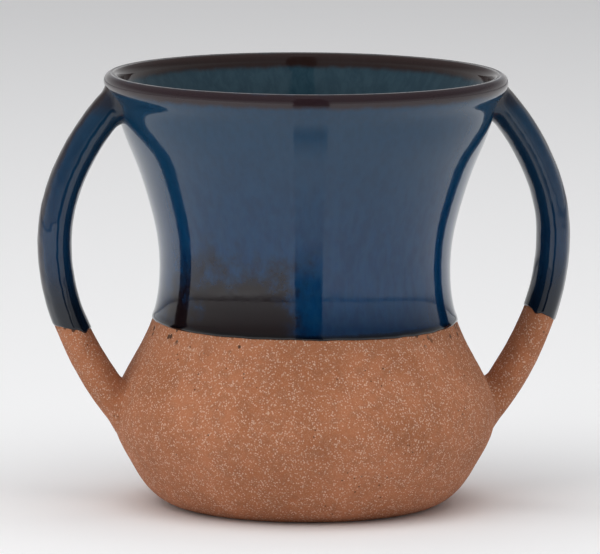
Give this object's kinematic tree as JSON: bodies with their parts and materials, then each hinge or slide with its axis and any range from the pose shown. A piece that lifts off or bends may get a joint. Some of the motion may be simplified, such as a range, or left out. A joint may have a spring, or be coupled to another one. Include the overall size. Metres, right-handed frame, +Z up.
{
  "type": "amphora vase",
  "caption": "Round-bellied two-handled vase with a waisted neck, flared rolled lip, oval strap handles, glossy glaze above and bare speckled clay below.",
  "frame": {"origin": "centre of the foot, on the surface that the vase stands on", "axes": "+Z up through the mouth, +X through both handles"},
  "size_m": [0.1928, 0.1444, 0.155],
  "materials": {
    "clay": "bare grogged stoneware, matt",
    "glaze": "glossy deep blue, breaking brown on edges",
    "liner": "glossy blue-grey"
  },
  "bodies": {
    "root": {"body": "clay", "left_handle": "clay", "right_handle": "clay", "outer_glaze": "glaze", "liner_glaze": "liner", "left_handle_glaze": "glaze", "right_handle_glaze": "glaze"}
  },
  "joints": []
}
